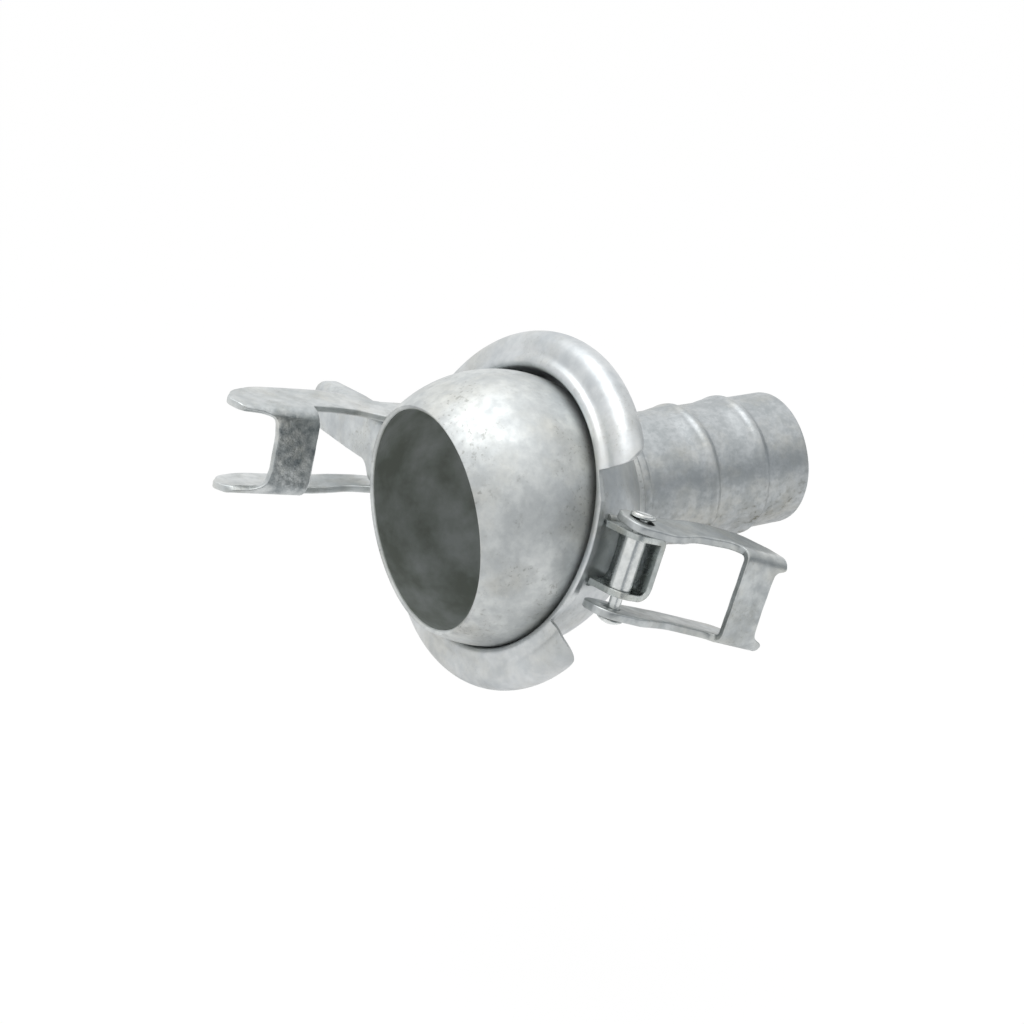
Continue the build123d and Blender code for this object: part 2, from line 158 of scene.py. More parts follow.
@dataclass(frozen=True)
class DipZinc:
    """Hot-dip zinc on pressed steel: satin grey metal with soft clouds, mottles and a few dull specks.

    Tones are sRGB hex values, sizes and heights are metres, and shares run from 0 to 1.
    """

    name: str
    light: str = "#D3D7D7"
    dark: str = "#B3B8BA"
    warm: str = "#CBC6B6"
    stain: str = "#8F8E83"
    # Clouds and mottles are as wide as on the real pieces. The finest specks are left out.
    cloud: float = 34 * MM
    mottle: float = 5.5 * MM
    speck: float = 1.5 * MM
    mottle_share: float = 0.45
    warm_share: float = 0.28
    smudge_share: float = 0.30
    speck_share: float = 0.3
    stain_share: float = 0.14
    roughness: float = 0.36
    roughness_swing: float = 0.10
    # The skin swells gently over 14 mm. Its real grain is too fine to show and is drawn at 1.8 mm.
    swell: float = 0.22 * MM
    swell_size: float = 14 * MM
    grain: float = 0.03 * MM
    grain_size: float = 1.8 * MM
    edge: float = 0.7 * MM
    # The wall that faces the water has dulled to a chalky oxide.
    hollow: Hollow = Hollow.NONE
    inner_radius: float = 0.0
    inner_tone: str = "#B5BAB9"
    inner_stain: str = "#BFC1B8"
    inner_spot: float = 26 * MM
    # Dross is the sludge that settles on the side that hangs lowest in the bath.
    low_dross: bool = False
    dross_top: float = 4 * MM
    dross_full: float = -20 * MM
    # A crust is a patch where the zinc froze rough. Its grit is 2.4 mm wide.
    crust_where: str = ""
    crust: str = "#858C8F"
    crust_spot: float = 6.5 * MM
    grit: float = 0.22 * MM
    grit_size: float = 2.4 * MM

    def material(self) -> bpy.types.Material:
        """Gives the finish's material, which is built when the first piece asks for it."""
        return bpy.data.materials.get(self.name) or ZincShader(self).build()


@dataclass
class ZincShader:
    """The node tree of one zinc finish, whose patterns lie on the Object coordinates."""

    finish: DipZinc
    paint: bpy.types.Material = field(init=False)
    place: Socket = field(init=False)

    def __post_init__(self) -> None:
        """Starts the material."""
        self.paint = blank_material(self.finish.name)
        self.place = self.node("ShaderNodeTexCoord").outputs["Object"]

    def node(self, kind: str, values: dict | None = None, links: dict | None = None) -> bpy.types.Node:
        """Adds one node to the finish's tree."""
        return add_node(self.paint.node_tree, kind, values, links)

    def build(self) -> bpy.types.Material:
        """Builds the whole tree.

        Returns:
            The finished material.
        """
        colour, rough = self.surface_tone()
        links = {"Base Color": colour, "Roughness": rough, "Normal": self.relief()}
        if self.finish.hollow is not Hollow.NONE:
            links |= self.inner_wall(colour)
        shader = self.node("ShaderNodeBsdfPrincipled", {"Metallic": 1.0}, links)
        self.node("ShaderNodeOutputMaterial", links={"Surface": shader.outputs[0]})
        return self.paint

    def blotches(self, layer: Blotches, size: float) -> Socket:
        """Lays one layer of blotches over the piece.

        Args:
            layer: How they break up.
            size: The size of one blotch, in metres.

        Returns:
            A socket that is 0 between the blotches and 1 inside them.
        """
        source = self.node("ShaderNodeTexNoise",
                           {"Scale": 1 / size, "Detail": layer.detail, "Roughness": 0.6},
                           {"Vector": self.place})
        return self.node("ShaderNodeMapRange", {"From Min": layer.low, "From Max": layer.high},
                         {"Value": source.outputs["Fac"]}).outputs[0]

    def tinted(self, tone: Socket, tint: str, where: Socket, share: float = 1.0) -> Socket:
        """Lays a second tone over the first.

        Args:
            tone: The colour below.
            tint: The colour on top, as hex.
            where: Where the second tone lies, from 0 to 1.
            share: How much of it shows there.

        Returns:
            The mixed colour.
        """
        shown = self.node("ShaderNodeMath", {"operation": "MULTIPLY", 1: share}, {0: where})
        mixed = self.node("ShaderNodeMix", {"data_type": "RGBA", COLOUR_B: linear(tint)},
                          {SHARE: shown.outputs[0], COLOUR_A: tone})
        return mixed.outputs[COLOUR_OUT]

    def surface_tone(self) -> tuple[Socket, Socket]:
        """Mixes clouds, mottles, warm patches, smudges, stain and crust.

        Returns:
            The colour socket and the roughness socket.
        """
        zinc = self.finish
        blend = self.node("ShaderNodeMix", {"data_type": "FLOAT", SHARE: zinc.mottle_share},
                          {2: self.blotches(CLOUDS, zinc.cloud),
                           3: self.blotches(MOTTLES, zinc.mottle)}).outputs[0]
        rough = self.node("ShaderNodeMath",
                          {"operation": "MULTIPLY_ADD", 1: zinc.roughness_swing, 2: zinc.roughness},
                          {0: blend}).outputs[0]
        tone = self.node("ShaderNodeMix",
                         {"data_type": "RGBA", COLOUR_A: linear(zinc.light), COLOUR_B: linear(zinc.dark)},
                         {SHARE: blend}).outputs[COLOUR_OUT]
        warmth = self.blotches(WARM_PATCHES, 1.3 * zinc.cloud)
        tone = self.tinted(tone, zinc.warm, warmth, zinc.warm_share)
        smudges = self.blotches(SMUDGES, 0.5 * zinc.cloud)
        tone = self.tinted(tone, zinc.dark, smudges, zinc.smudge_share)
        tone = self.tinted(tone, zinc.stain, self.stained())
        if zinc.crust_where:
            spots = self.blotches(CRUST_SPOTS, zinc.crust_spot)
            tone = self.tinted(tone, zinc.crust, self.crusted(spots))
        return tone, rough

    def stained(self) -> Socket:
        """Finds the dull stains and the specks in them.

        Returns:
            The stain's share.
        """
        zinc = self.finish
        where = self.blotches(DROSS, 0.8 * zinc.cloud)
        if zinc.low_dross:
            where = self.low_side(where)
        dotted = self.node("ShaderNodeMath",
                           {"operation": "MULTIPLY_ADD", 1: zinc.speck_share, 2: zinc.stain_share},
                           {0: self.blotches(SPECKS, zinc.speck)})
        return self.node("ShaderNodeMath", {"operation": "MULTIPLY"},
                         {0: where, 1: dotted.outputs[0]}).outputs[0]

    def low_side(self, where: Socket) -> Socket:
        """Keeps the dross to the side that hung lowest in the zinc bath.

        Args:
            where: The share that the dross would have all round.

        Returns:
            The share with the upper side cleared.
        """
        height = self.node("ShaderNodeSeparateXYZ", links={0: self.place}).outputs["Z"]
        low = self.node("ShaderNodeMapRange",
                        {"From Min": self.finish.dross_top, "From Max": self.finish.dross_full},
                        {"Value": height})
        wide = self.node("ShaderNodeMath",
                         {"operation": "MULTIPLY_ADD", "use_clamp": True, 1: 0.7, 2: 0.3}, {0: where})
        return self.node("ShaderNodeMath", {"operation": "MULTIPLY"},
                         {0: wide.outputs[0], 1: low.outputs[0]}).outputs[0]

    def crusted(self, pattern: Socket) -> Socket:
        """Keeps a pattern to the part of the piece that has the crust."""
        where = self.node("ShaderNodeAttribute", {"attribute_name": self.finish.crust_where}).outputs["Fac"]
        return self.node("ShaderNodeMath", {"operation": "MULTIPLY"}, {0: pattern, 1: where}).outputs[0]

    def inner_wall(self, colour: Socket) -> dict[str, Socket]:
        """Dulls the wall that faces the water.

        Args:
            colour: The outer wall's colour.

        Returns:
            The sockets for the shader's colour and metallic value, by the names of its inputs.
        """
        zinc = self.finish
        middle = self.place
        if zinc.hollow is Hollow.PIPE:
            middle = self.node("ShaderNodeVectorMath", {"operation": "MULTIPLY", 1: (0.0, 1.0, 1.0)},
                               {0: middle}).outputs[0]
        reach = self.node("ShaderNodeVectorMath", {"operation": "LENGTH"}, {0: middle})
        inside = self.node("ShaderNodeMapRange",
                           {"From Min": zinc.inner_radius, "From Max": zinc.inner_radius - 0.5 * MM},
                           {"Value": reach.outputs["Value"]}).outputs[0]
        chalk = self.node("ShaderNodeMix",
                          {"data_type": "RGBA", "blend_type": "MULTIPLY",
                           COLOUR_A: linear(zinc.inner_tone), COLOUR_B: linear(zinc.inner_stain)},
                          {SHARE: self.blotches(OXIDE_SPOTS, zinc.inner_spot)})
        mixed = self.node("ShaderNodeMix", {"data_type": "RGBA"},
                          {SHARE: inside, COLOUR_A: colour, COLOUR_B: chalk.outputs[COLOUR_OUT]})
        metal = self.node("ShaderNodeMath", {"operation": "SUBTRACT", 0: 1.0}, {1: inside})
        return {"Base Color": mixed.outputs[COLOUR_OUT], "Metallic": metal.outputs[0]}

    def bumped(self, size: float, detail: float, depth: float, below: Socket | None,
               on_crust: bool = False) -> Socket:
        """Raises the surface by a noise.

        Args:
            size: How wide its bumps are, in metres.
            detail: How many finer layers it has.
            depth: How high the bumps are, in metres.
            below: The normal that they stand on, or None for the bare surface.
            on_crust: True for bumps that only the crust has.

        Returns:
            The normal socket.
        """
        source = self.node("ShaderNodeTexNoise", {"Scale": 1 / size, "Detail": detail},
                           {"Vector": self.place})
        height = source.outputs["Fac"]
        links = {"Height": self.crusted(height) if on_crust else height}
        if below is not None:
            links["Normal"] = below
        return self.node("ShaderNodeBump", {"Strength": 1.0, "Distance": depth}, links).outputs[0]

    def relief(self) -> Socket:
        """Rounds the edges with the zinc's own skin, and gives the surface its soft swell and fine grain.

        Returns:
            The normal socket.
        """
        zinc = self.finish
        normal = None
        if zinc.edge:
            normal = self.node("ShaderNodeBevel", {"samples": 6, "Radius": zinc.edge}).outputs[0]
        normal = self.bumped(zinc.swell_size, 3.0, zinc.swell, normal)
        normal = self.bumped(zinc.grain_size, 2.0, zinc.grain, normal)
        if zinc.crust_where:
            normal = self.bumped(zinc.grit_size, 3.0, zinc.grit, normal, on_crust=True)
        return normal


# Ball: drawn steel sheet, dipped. The zinc is smooth, with faint clouds, warm smudges and fine specks.
BALL_ZINC = DipZinc("dip_zinc_ball", light="#D9DCDB", dark="#BDC1C2", stain="#8E8F8B", roughness=0.46,
                    speck_share=0.42, stain_share=0.16, smudge_share=0.35, cloud=30 * MM, speck=2.0 * MM,
                    hollow=Hollow.BALL, inner_radius=72.5 * MM)
# Tail: pipe with rolled beads. Its zinc is thick and dull, with brownish dross low down.
TAIL_ZINC = DipZinc("dip_zinc_tail", light="#C2C6C8", dark="#A8ADAF", stain="#807F76", cloud=20 * MM,
                    mottle=3.0 * MM, mottle_share=0.55, roughness=0.42, stain_share=0.42, speck_share=0.58,
                    speck=3.0 * MM, smudge_share=0.5, swell=0.35 * MM, grain=0.10 * MM,
                    hollow=Hollow.PIPE, inner_radius=37.0 * MM, low_dross=True, edge=0.0)
# Ring: smooth pressing, the brightest zinc of all.
RING_ZINC = DipZinc("dip_zinc_ring", light="#DADDDE", dark="#BCC1C4", stain_share=0.12, speck_share=0.2,
                    roughness=0.38, cloud=36 * MM, mottle_share=0.3)
# Lever: pressed sheet, smooth and pale.
LEVER_ZINC = DipZinc("dip_zinc_lever", light="#D8DCDC", dark="#B8BDC0", cloud=24 * MM, mottle_share=0.3,
                     roughness=0.36, edge=0.9 * MM)
# Swinging hook: sheared and bent plate, smooth faces with glints on the rounded edges.
SWING_ZINC = DipZinc("dip_zinc_swing_hook", light="#CBCFCF", dark="#A4A9AB", cloud=18 * MM,
                     mottle_share=0.4, roughness=0.30, edge=0.0)
# Latch hook: the same plate, with a rough dull crust on the outside of its web.
LATCH_ZINC = DipZinc("dip_zinc_latch_hook", light="#DADDDD", dark="#B9BEBF", cloud=18 * MM,
                     mottle_share=0.3, roughness=0.32, crust_where=WEB_SHARE, edge=0.0)
# Brackets: bent strap, mirrored darkly by their own walls.
STRAP_ZINC = DipZinc("dip_zinc_strap", light="#CDD2D1", dark="#A3A9A8", cloud=12 * MM, roughness=0.22,
                     edge=0.8 * MM)
# Rivets and spacer tubes: turned steel with a thin bright zinc coat.
PIN_ZINC = DipZinc("thin_zinc_pin", light="#E0E3E2", dark="#C9CDCD", cloud=8 * MM, roughness=0.2,
                   stain_share=0.05, speck_share=0.1, edge=0.0)
# Weld beads: rippled filler under the zinc.
WELD_ZINC = DipZinc("dip_zinc_weld", light="#BEC3C3", dark="#949999", cloud=10 * MM, roughness=0.4,
                    stain_share=0.25, speck_share=0.4, grain=0.08 * MM)


@dataclass
class ZincPieces:
    """The coupling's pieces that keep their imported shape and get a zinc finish."""

    finishes: dict[str, DipZinc]

    def dress(self) -> None:
        """Puts each piece's material into its slots."""
        for node_name, finish in self.finishes.items():
            for slot in frame["nodes"][node_name].material_slots:
                slot.material = finish.material()
            LOG.info("%s wears %s", node_name, finish.name)


def spin(axis: str, degrees: float) -> Matrix:
    """Turns about one axis by an angle in degrees."""
    return Matrix.Rotation(math.radians(degrees), 4, axis)


def shift(x: float, y: float, z: float) -> Matrix:
    """Moves by millimetres."""
    return Matrix.Translation((x * MM, y * MM, z * MM))


def ease(share: float) -> float:
    """Eases a share from 0 to 1, held at both ends."""
    share = min(1.0, max(0.0, share))
    return share * share * (3 - 2 * share)


def rounded_loop(corners: list[Corner], step: float) -> list[Vector]:
    """Rounds the corners of a closed outline and divides it into short pieces.

    Args:
        corners: Its corners.
        step: The longest piece, in millimetres.

    Returns:
        The outline's points, in the corners' order.
    """
    bow_steps = 8
    points: list[Vector] = []
    for index, (x, y, radius) in enumerate(corners):
        here = Vector((x, y))
        back = Vector(corners[index - 1][:2]) - here
        ahead = Vector(corners[(index + 1) % len(corners)][:2]) - here
        half = back.angle(ahead) / 2
        reach = min(radius / math.tan(half), 0.49 * back.length, 0.49 * ahead.length)
        first = here + back.normalized() * reach
        last = here + ahead.normalized() * reach
        for share in (part / bow_steps for part in range(bow_steps + 1)):
            points.append(first * (1 - share) ** 2 + here * 2 * share * (1 - share) + last * share ** 2)
    loop: list[Vector] = []
    for index, point in enumerate(points):
        gap = points[(index + 1) % len(points)] - point
        pieces = max(1, math.ceil(gap.length / step))
        if gap.length > 0.05:
            loop.extend(point + gap * (piece / pieces) for piece in range(pieces))
    return loop


def holds(loop: list[Vector], spot: Vector) -> bool:
    """Tells whether a closed outline goes round a point.

    Args:
        loop: The outline.
        spot: The point.

    Returns:
        True if the point lies inside.
    """
    inside = False
    before = loop[-1]
    for point in loop:
        if (point.y > spot.y) != (before.y > spot.y):
            cross = (before.x - point.x) * (spot.y - point.y) / (before.y - point.y) + point.x
            if spot.x < cross:
                inside = not inside
        before = point
    return inside


def rim(loop: list[Vector], inward: float) -> list[Vector]:
    """Moves an outline inwards, the way that its own sides face.

    Args:
        loop: The outline, counterclockwise, or clockwise for a hole.
        inward: How far, in millimetres.

    Returns:
        The moved points.
    """
    moved = []
    for index, point in enumerate(loop):
        chord = loop[(index + 1) % len(loop)] - loop[index - 1]
        outward = Vector((chord.y, -chord.x)).normalized()
        moved.append(point - outward * inward)
    return moved


def fill_plan(loops: list[list[Vector]], column: float, row: float,
              across: tuple[int, ...] = ()) -> tuple[list[Vector], list[list[int]]]:
    """Fills an outline, less its holes, with small triangles of even size.

    Args:
        loops: The outline, and then its holes.
        column: The distance between points along the first axis, in millimetres.
        row: The same along the second axis.
        across: The numbers of two points of the outline that an edge joins.

    Returns:
        The points, the loops' own first, and the triangles as numbers of points.
    """
    flat = [point for loop in loops for point in loop]
    edges = [across] if across else []
    start = 0
    for loop in loops:
        edges.extend((start + i, start + (i + 1) % len(loop)) for i in range(len(loop)))
        start += len(loop)
    near = kdtree.KDTree(len(flat))
    for index, point in enumerate(flat):
        near.insert(point.to_3d(), index)
    near.balance()

    def on_plan(spot: Vector) -> bool:
        """Tells whether a point lies on the sheet."""
        return holds(loops[0], spot) and not any(holds(hole, spot) for hole in loops[1:])

    left, right = min(p.x for p in loops[0]), max(p.x for p in loops[0])
    low, high = min(p.y for p in loops[0]), max(p.y for p in loops[0])
    for line in range(int((high - low) / row) + 1):
        for place in range(int((right - left) / column) + 1):
            spot = Vector((left + column * (place + 0.5 * (line % 2)), low + row * line))
            if near.find(spot.to_3d())[2] > 0.8 * row and on_plan(spot):
                flat.append(spot)
    spots, _, faces, *_ = delaunay_2d_cdt(flat, edges, [], 0, 0.001)
    kept = [face for face in faces if on_plan(sum((spots[i] for i in face), Vector((0, 0))) / 3)]
    return spots, kept


def join_rings(rings: list[list[int]]) -> list[tuple[int, int, int, int]]:
    """Joins closed rings of points by quads, each ring to the next.

    Args:
        rings: The numbers of each ring's points.

    Returns:
        The quads.
    """
    quads = []
    for upper, lower in zip(rings, rings[1:]):
        for i in range(len(upper)):
            j = (i + 1) % len(upper)
            quads.append((upper[i], lower[i], lower[j], upper[j]))
    return quads


def added(points: list[Vector], ring: list[Vector]) -> list[int]:
    """Adds a ring to a mesh's points.

    Args:
        points: The mesh's points, which get the ring's.
        ring: The ring's points.

    Returns:
        The numbers of the ring's points.
    """
    start = len(points)
    points.extend(ring)
    return list(range(start, len(points)))


@dataclass
class Piece:
    """One rigid piece of the coupling, which stands for a node of the frame."""

    name: str
    node: str
    body: str
    slot: str
    place: Matrix
    finish: DipZinc

    def put(self, points: list[Vector], faces: list, sharp: float = 50.0) -> bpy.types.Object:
        """Makes the mesh object at rest, dresses it and puts it on its body.

        Args:
            points: The points in the piece's own frame, in millimetres.
            faces: The faces.
            sharp: Edges that turn by more than this stay sharp, in degrees.

        Returns:
            The piece.
        """
        mesh = bpy.data.meshes.new(self.name)
        mesh.from_pydata([self.place @ (point * MM) for point in points], [], faces)
        mesh.materials.append(self.finish.material())
        mesh.shade_smooth()
        mesh.set_sharp_from_angle(angle=math.radians(sharp))
        piece = bpy.data.objects.new(self.name, mesh)
        bpy.context.scene.collection.objects.link(piece)
        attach(piece, self.body)
        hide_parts(self.node)
        return piece


def turning_tree() -> Tree:
    """Builds the node tree that turns an outline about the Z axis.

    Returns:
        The tree. Its inputs are the outline, the sides of the turned piece, and the radius from which the
        outline's first coordinate counts.
    """
    tree = bpy.data.node_groups.new("turned_outline", "GeometryNodeTree")
    for name, kind in (("Outline", "Geometry"), ("Sides", "Int"), ("From Radius", "Float"),
                       ("Finish", "Material")):
        tree.interface.new_socket(name=name, in_out="INPUT", socket_type=f"NodeSocket{kind}")
    tree.interface.new_socket(name="Piece", in_out="OUTPUT", socket_type="NodeSocketGeometry")
    given = add_node(tree, "NodeGroupInput").outputs
    profile = add_node(tree, "GeometryNodeMeshToCurve", links={"Mesh": given["Outline"]})
    path = add_node(tree, "GeometryNodeCurvePrimitiveCircle", {"mode": "RADIUS"},
                    {"Resolution": given["Sides"], "Radius": given["From Radius"]})
    turned = add_node(tree, "GeometryNodeCurveToMesh",
                      links={"Curve": path.outputs[0], "Profile Curve": profile.outputs[0]})
    real = add_node(tree, "GeometryNodeRealizeInstances", links={0: turned.outputs[0]})
    finished = add_node(tree, "GeometryNodeSetMaterial",
                        links={"Geometry": real.outputs[0], "Material": given["Finish"]})
    add_node(tree, "NodeGroupOutput", links={0: finished.outputs[0]})
    return tree


@dataclass
class Turned(Piece):
    """A piece of revolution: its closed outline is turned about the place's Z axis, and slightly dented.

    The outline's points are radius and height, in millimetres, with the height rising on the outside.
    """

    outline: list[tuple[float, float]]
    sides: int = 96
    wave: float = 0.0
    # A dent is 17 mm wide. The sway along the axis goes slowly round the piece, and changes over 40 mm of it.
    dent_share: float = 0.4
    dent_size: float = 17.0
    sway_turns: float = 1.7
    sway_size: float = 40.0

    def turn(self) -> bpy.types.Mesh:
        """Turns the outline with Geometry Nodes.

        A profile's second axis points down the path's axis, so the heights and the order are turned round.

        Returns:
            The plain mesh, in millimetres.
        """
        base = 1.0
        count = len(self.outline)
        line = bpy.data.meshes.new("outline")
        line.from_pydata([(radius - base, -height, 0.0) for radius, height in reversed(self.outline)],
                         [(i, (i + 1) % count) for i in range(count)], [])
        blank = bpy.data.objects.new("outline", line)
        bpy.context.scene.collection.objects.link(blank)
        tree = turning_tree()
        modifier = blank.modifiers.new("turned", "NODES")
        modifier.node_group = tree
        given = {"Sides": self.sides, "From Radius": base, "Finish": self.finish.material()}
        for item in tree.interface.items_tree:
            if item.name in given:
                modifier[item.identifier] = given[item.name]
        ready = blank.evaluated_get(bpy.context.evaluated_depsgraph_get())
        mesh = bpy.data.meshes.new_from_object(ready)
        bpy.data.objects.remove(blank)
        bpy.data.node_groups.remove(tree)
        return mesh

    def dented(self, spot: Vector) -> Vector:
        """Moves a point of the turned mesh a little, as a pressed pipe is never quite round.

        Args:
            spot: The point.

        Returns:
            The moved point.
        """
        way = Vector((spot.x, spot.y, 0.0)).normalized()
        sway = noise.noise(way * self.sway_turns + Vector((0.0, 0.0, spot.z / self.sway_size)))
        dent = noise.noise(spot / self.dent_size)
        return spot + self.wave * (way * self.dent_share * dent + Vector((0.0, 0.0, sway)))

    def build(self) -> bpy.types.Object:
        """Turns and dents the outline.

        Returns:
            The finished piece.
        """
        mesh = self.turn()
        points = [self.dented(vertex.co) for vertex in mesh.vertices]
        faces = [tuple(face.vertices) for face in mesh.polygons]
        bpy.data.meshes.remove(mesh)
        return self.put(points, faces)


@dataclass(frozen=True)
class TailProfile:
    """The hose tail's wall: plain pipe with rolled beads that fall steeply to the hose's end."""

    start: float = 74.81
    end: float = 185.81
    radius: float = 38.1
    wall: float = 2.5
    bead: float = 2.2
    bead_places: tuple[float, ...] = (42.6, 77.1)
    mouth_round: float = 1.4

    def rise(self, x: float) -> float:
        """Gives the height of the beads over the plain pipe.

        Args:
            x: The place along the axis.

        Returns:
            The height.
        """
        # A bead climbs gently over 11 mm and then steeply over 4 mm, and falls over 4.8 mm.
        rise = 0.0
        for place in self.bead_places:
            past = x - self.start - place
            climb = 0.55 * ease((past + 13.0) / 11.0) + 0.45 * ease((past + 2.6) / 4.0)
            rise += self.bead * climb * (1 - ease((past - 1.8) / 4.8))
        return rise

    def outline(self) -> list[tuple[float, float]]:
        """Draws the wall.

        Returns:
            The closed outline as radius and place along the axis, in millimetres.
        """
        step, bore_step = 0.75, 4.0
        bore_r = self.radius - self.wall
        rows = int((self.end - self.start - 1.8) / step) + 1
        outer = [(self.radius + self.rise(x), x) for x in (self.start + step * i for i in range(rows))]
        fall = [(1 - math.cos(a), 1 - math.sin(a)) for a in map(math.radians, (0, 22, 45, 68, 90))]
        mouth = [(self.radius - self.mouth_round * x, self.end - self.mouth_round * y) for x, y in fall]
        bore = [(bore_r, self.end - bore_step * i) for i in range(1, 27)]
        return [*outer, *mouth, (bore_r, self.end - 0.4), *bore, (bore_r, self.start)]


# The rings of a sheared edge's rounding: on which side of the sheet, and how far round in degrees.
EDGE_TURNS = ((1, 22.5), (1, 45), (1, 67.5), (1, 90), (-1, 90), (-1, 67.5), (-1, 45), (-1, 22.5))


@dataclass
class BentHook(Piece):
    """One hook of the coupling: a flat blank, sheared out and bent over into two plates and a web.

    Sizes are millimetres. The hook's frame has its arm along X from the eye, and its plates across Z.
    """

    web: float
    hole_r: float
    relief: list[Corner]
    beak: list[Corner]
    plate: float = 4.2
    eye_in: float = 20.2
    web_in: float = 21.8
    splay: float = 3.6
    web_face: float = -12.5
    bend: float = 6.6
    reach: float = 61.5
    eye_r: float = 13.0
    arm_near: float = -4.5
    arm_far: float = 18.0
    edge_round: float = 0.9
    edge_wave: float = 0.22
    # How much of the web's crust shows on its sheared edges.
    edge_crust: float = 0.4
    # Where along the arm the plates leave the spread that they have at the eye, and how far they spread on.
    joggle_from: float = 14.0
    joggle_run: float = 44.0
    # The longest piece of the outline, and how far apart the points inside it lie.
    outline_step: float = 1.3
    column: float = 2.4
    row: float = 1.25
    # The side of which the plate runs straight to its eye, 1 or -1, or 0 where both are set in at the eye.
    loose_side: int = 0
    skew: float = 0.0
    # Worked out below: where the bends begin and end along the blank, and how far the eyes are set in.
    middle_r: float = field(init=False)
    turned: float = field(init=False)
    web_mid: float = field(init=False)
    web_half: float = field(init=False)
    bend_end: float = field(init=False)
    bend_end_v: float = field(init=False)
    bend_end_z: float = field(init=False)
    joggle: float = field(init=False)

    def __post_init__(self) -> None:
        """Works out where the bends begin and end along the blank."""
        self.middle_r = self.bend - self.plate / 2
        self.turned = math.radians(90 - self.splay)
        rise = math.tan(math.radians(self.splay))
        self.web_mid = self.web_face + self.plate / 2
        self.bend_end_v = self.web_mid + self.middle_r * (1 - math.cos(self.turned))
        plate_mid = self.web_in + self.plate / 2
        self.bend_end_z = plate_mid + (self.bend_end_v - self.web_face) * rise
        self.web_half = self.bend_end_z - self.middle_r * math.sin(self.turned)
        self.bend_end = self.web_half + self.middle_r * self.turned
        self.joggle = self.web_in - self.eye_in - self.web_face * rise

    def along(self, v: float) -> float:
        """Turns a place across the plate into the distance along the blank from the web's middle."""
        return self.bend_end + (v - self.bend_end_v) / math.cos(math.radians(self.splay))

    def blank(self) -> list[Vector]:
        """Draws the flat blank's outline, mirrored about the web's middle.

        Returns:
            Its points, counterclockwise, each as the place along the arm and along the blank.
        """
        eye = self.eye_r
        upper = [(self.reach, 0.0, 1.0), *self.relief]
        for u, v, radius in ((2.5 * eye, self.arm_near, 2 * eye), (eye, -eye, eye), (-eye, -eye, eye - 0.2),
                             (-eye, eye, eye - 0.2), (eye, eye, eye / 2), (3 * eye, self.arm_far, 2 * eye)):
            upper.append((u, self.along(v), radius))
        upper.extend(self.beak)
        upper.append((self.reach + self.web, 0.0, 1.0))
        lower = [(u, -s, radius) for u, s, radius in reversed(upper[1:-1])]
        loop = rounded_loop(upper + lower, self.outline_step)
        area = sum(a.x * b.y - b.x * a.y for a, b in zip(loop, loop[1:] + loop[:1]))
        return loop if area > 0 else loop[::-1]

    def bent(self, spot: Vector, lift: float) -> Vector:
        """Bends one point of the blank to its place on the hook.

        Args:
            spot: The point on the blank.
            lift: Its height over the middle of the sheet, positive towards the outside.

        Returns:
            The point in the hook's own frame, in millimetres.
        """
        side = 1.0 if spot.y >= 0 else -1.0
        run = abs(spot.y)
        if self.on_web(spot) and run <= self.bend_end:
            turned = max(0.0, run - self.web_half) / self.middle_r
            v = self.web_mid + self.middle_r * (1 - math.cos(turned))
            z = min(run, self.web_half) + self.middle_r * math.sin(turned)
            out_v, out_z = -math.cos(turned), math.sin(turned)
        else:
            lean = math.radians(self.splay)
            v = self.bend_end_v + (run - self.bend_end) * math.cos(lean)
            z = self.bend_end_z + (run - self.bend_end) * math.sin(lean)
            out_v, out_z = -math.sin(lean), math.cos(lean)
        from_eye = min(1.0, max(0.0, (spot.x - self.joggle_from) / self.joggle_run))
        if side != self.loose_side:
            z -= self.joggle * (1 - ease(from_eye))
        slant = self.skew * from_eye * (1 - spot.y / self.bend_end) / 2
        return Vector((spot.x + slant, v + lift * out_v, side * (z + lift * out_z)))

    def on_web(self, spot: Vector) -> bool:
        """Tells whether a point of the blank lies far enough from the eye to be on the web or a beak."""
        return spot.x > 0.8 * self.reach

    def web_share(self, spot: Vector) -> float:
        """Tells how far a point of the blank belongs to the rough web, from 0 to 1."""
        return min(1.0, max(0.0, (self.bend_end - abs(spot.y)) / 5.0)) if self.on_web(spot) else 0.0

    def waved(self, loop: list[Vector]) -> list[Vector]:
        """Gives a sheared outline its slight unevenness.

        Args:
            loop: The outline.

        Returns:
            The moved points.
        """
        slow, quick = 0.13, 0.5
        shifts = [noise.noise(Vector((p.x * slow, p.y * slow, 3.7)))
                  + 0.4 * noise.noise(Vector((p.x * quick, p.y * quick, 8.1))) for p in loop]
        around = rim(loop, -1.0)
        return [p + (q - p) * self.edge_wave * s for p, q, s in zip(loop, around, shifts)]

    def holes(self) -> list[list[Vector]]:
        """Draws the two rivet holes.

        Returns:
            Their outlines, clockwise.
        """
        sides = 40
        circle = [Vector((math.cos(a), -math.sin(a))) * self.hole_r
                  for a in (2 * math.pi * i / sides for i in range(sides))]
        return [[Vector((0.0, side * self.along(0.0))) + point for point in circle] for side in (1, -1)]

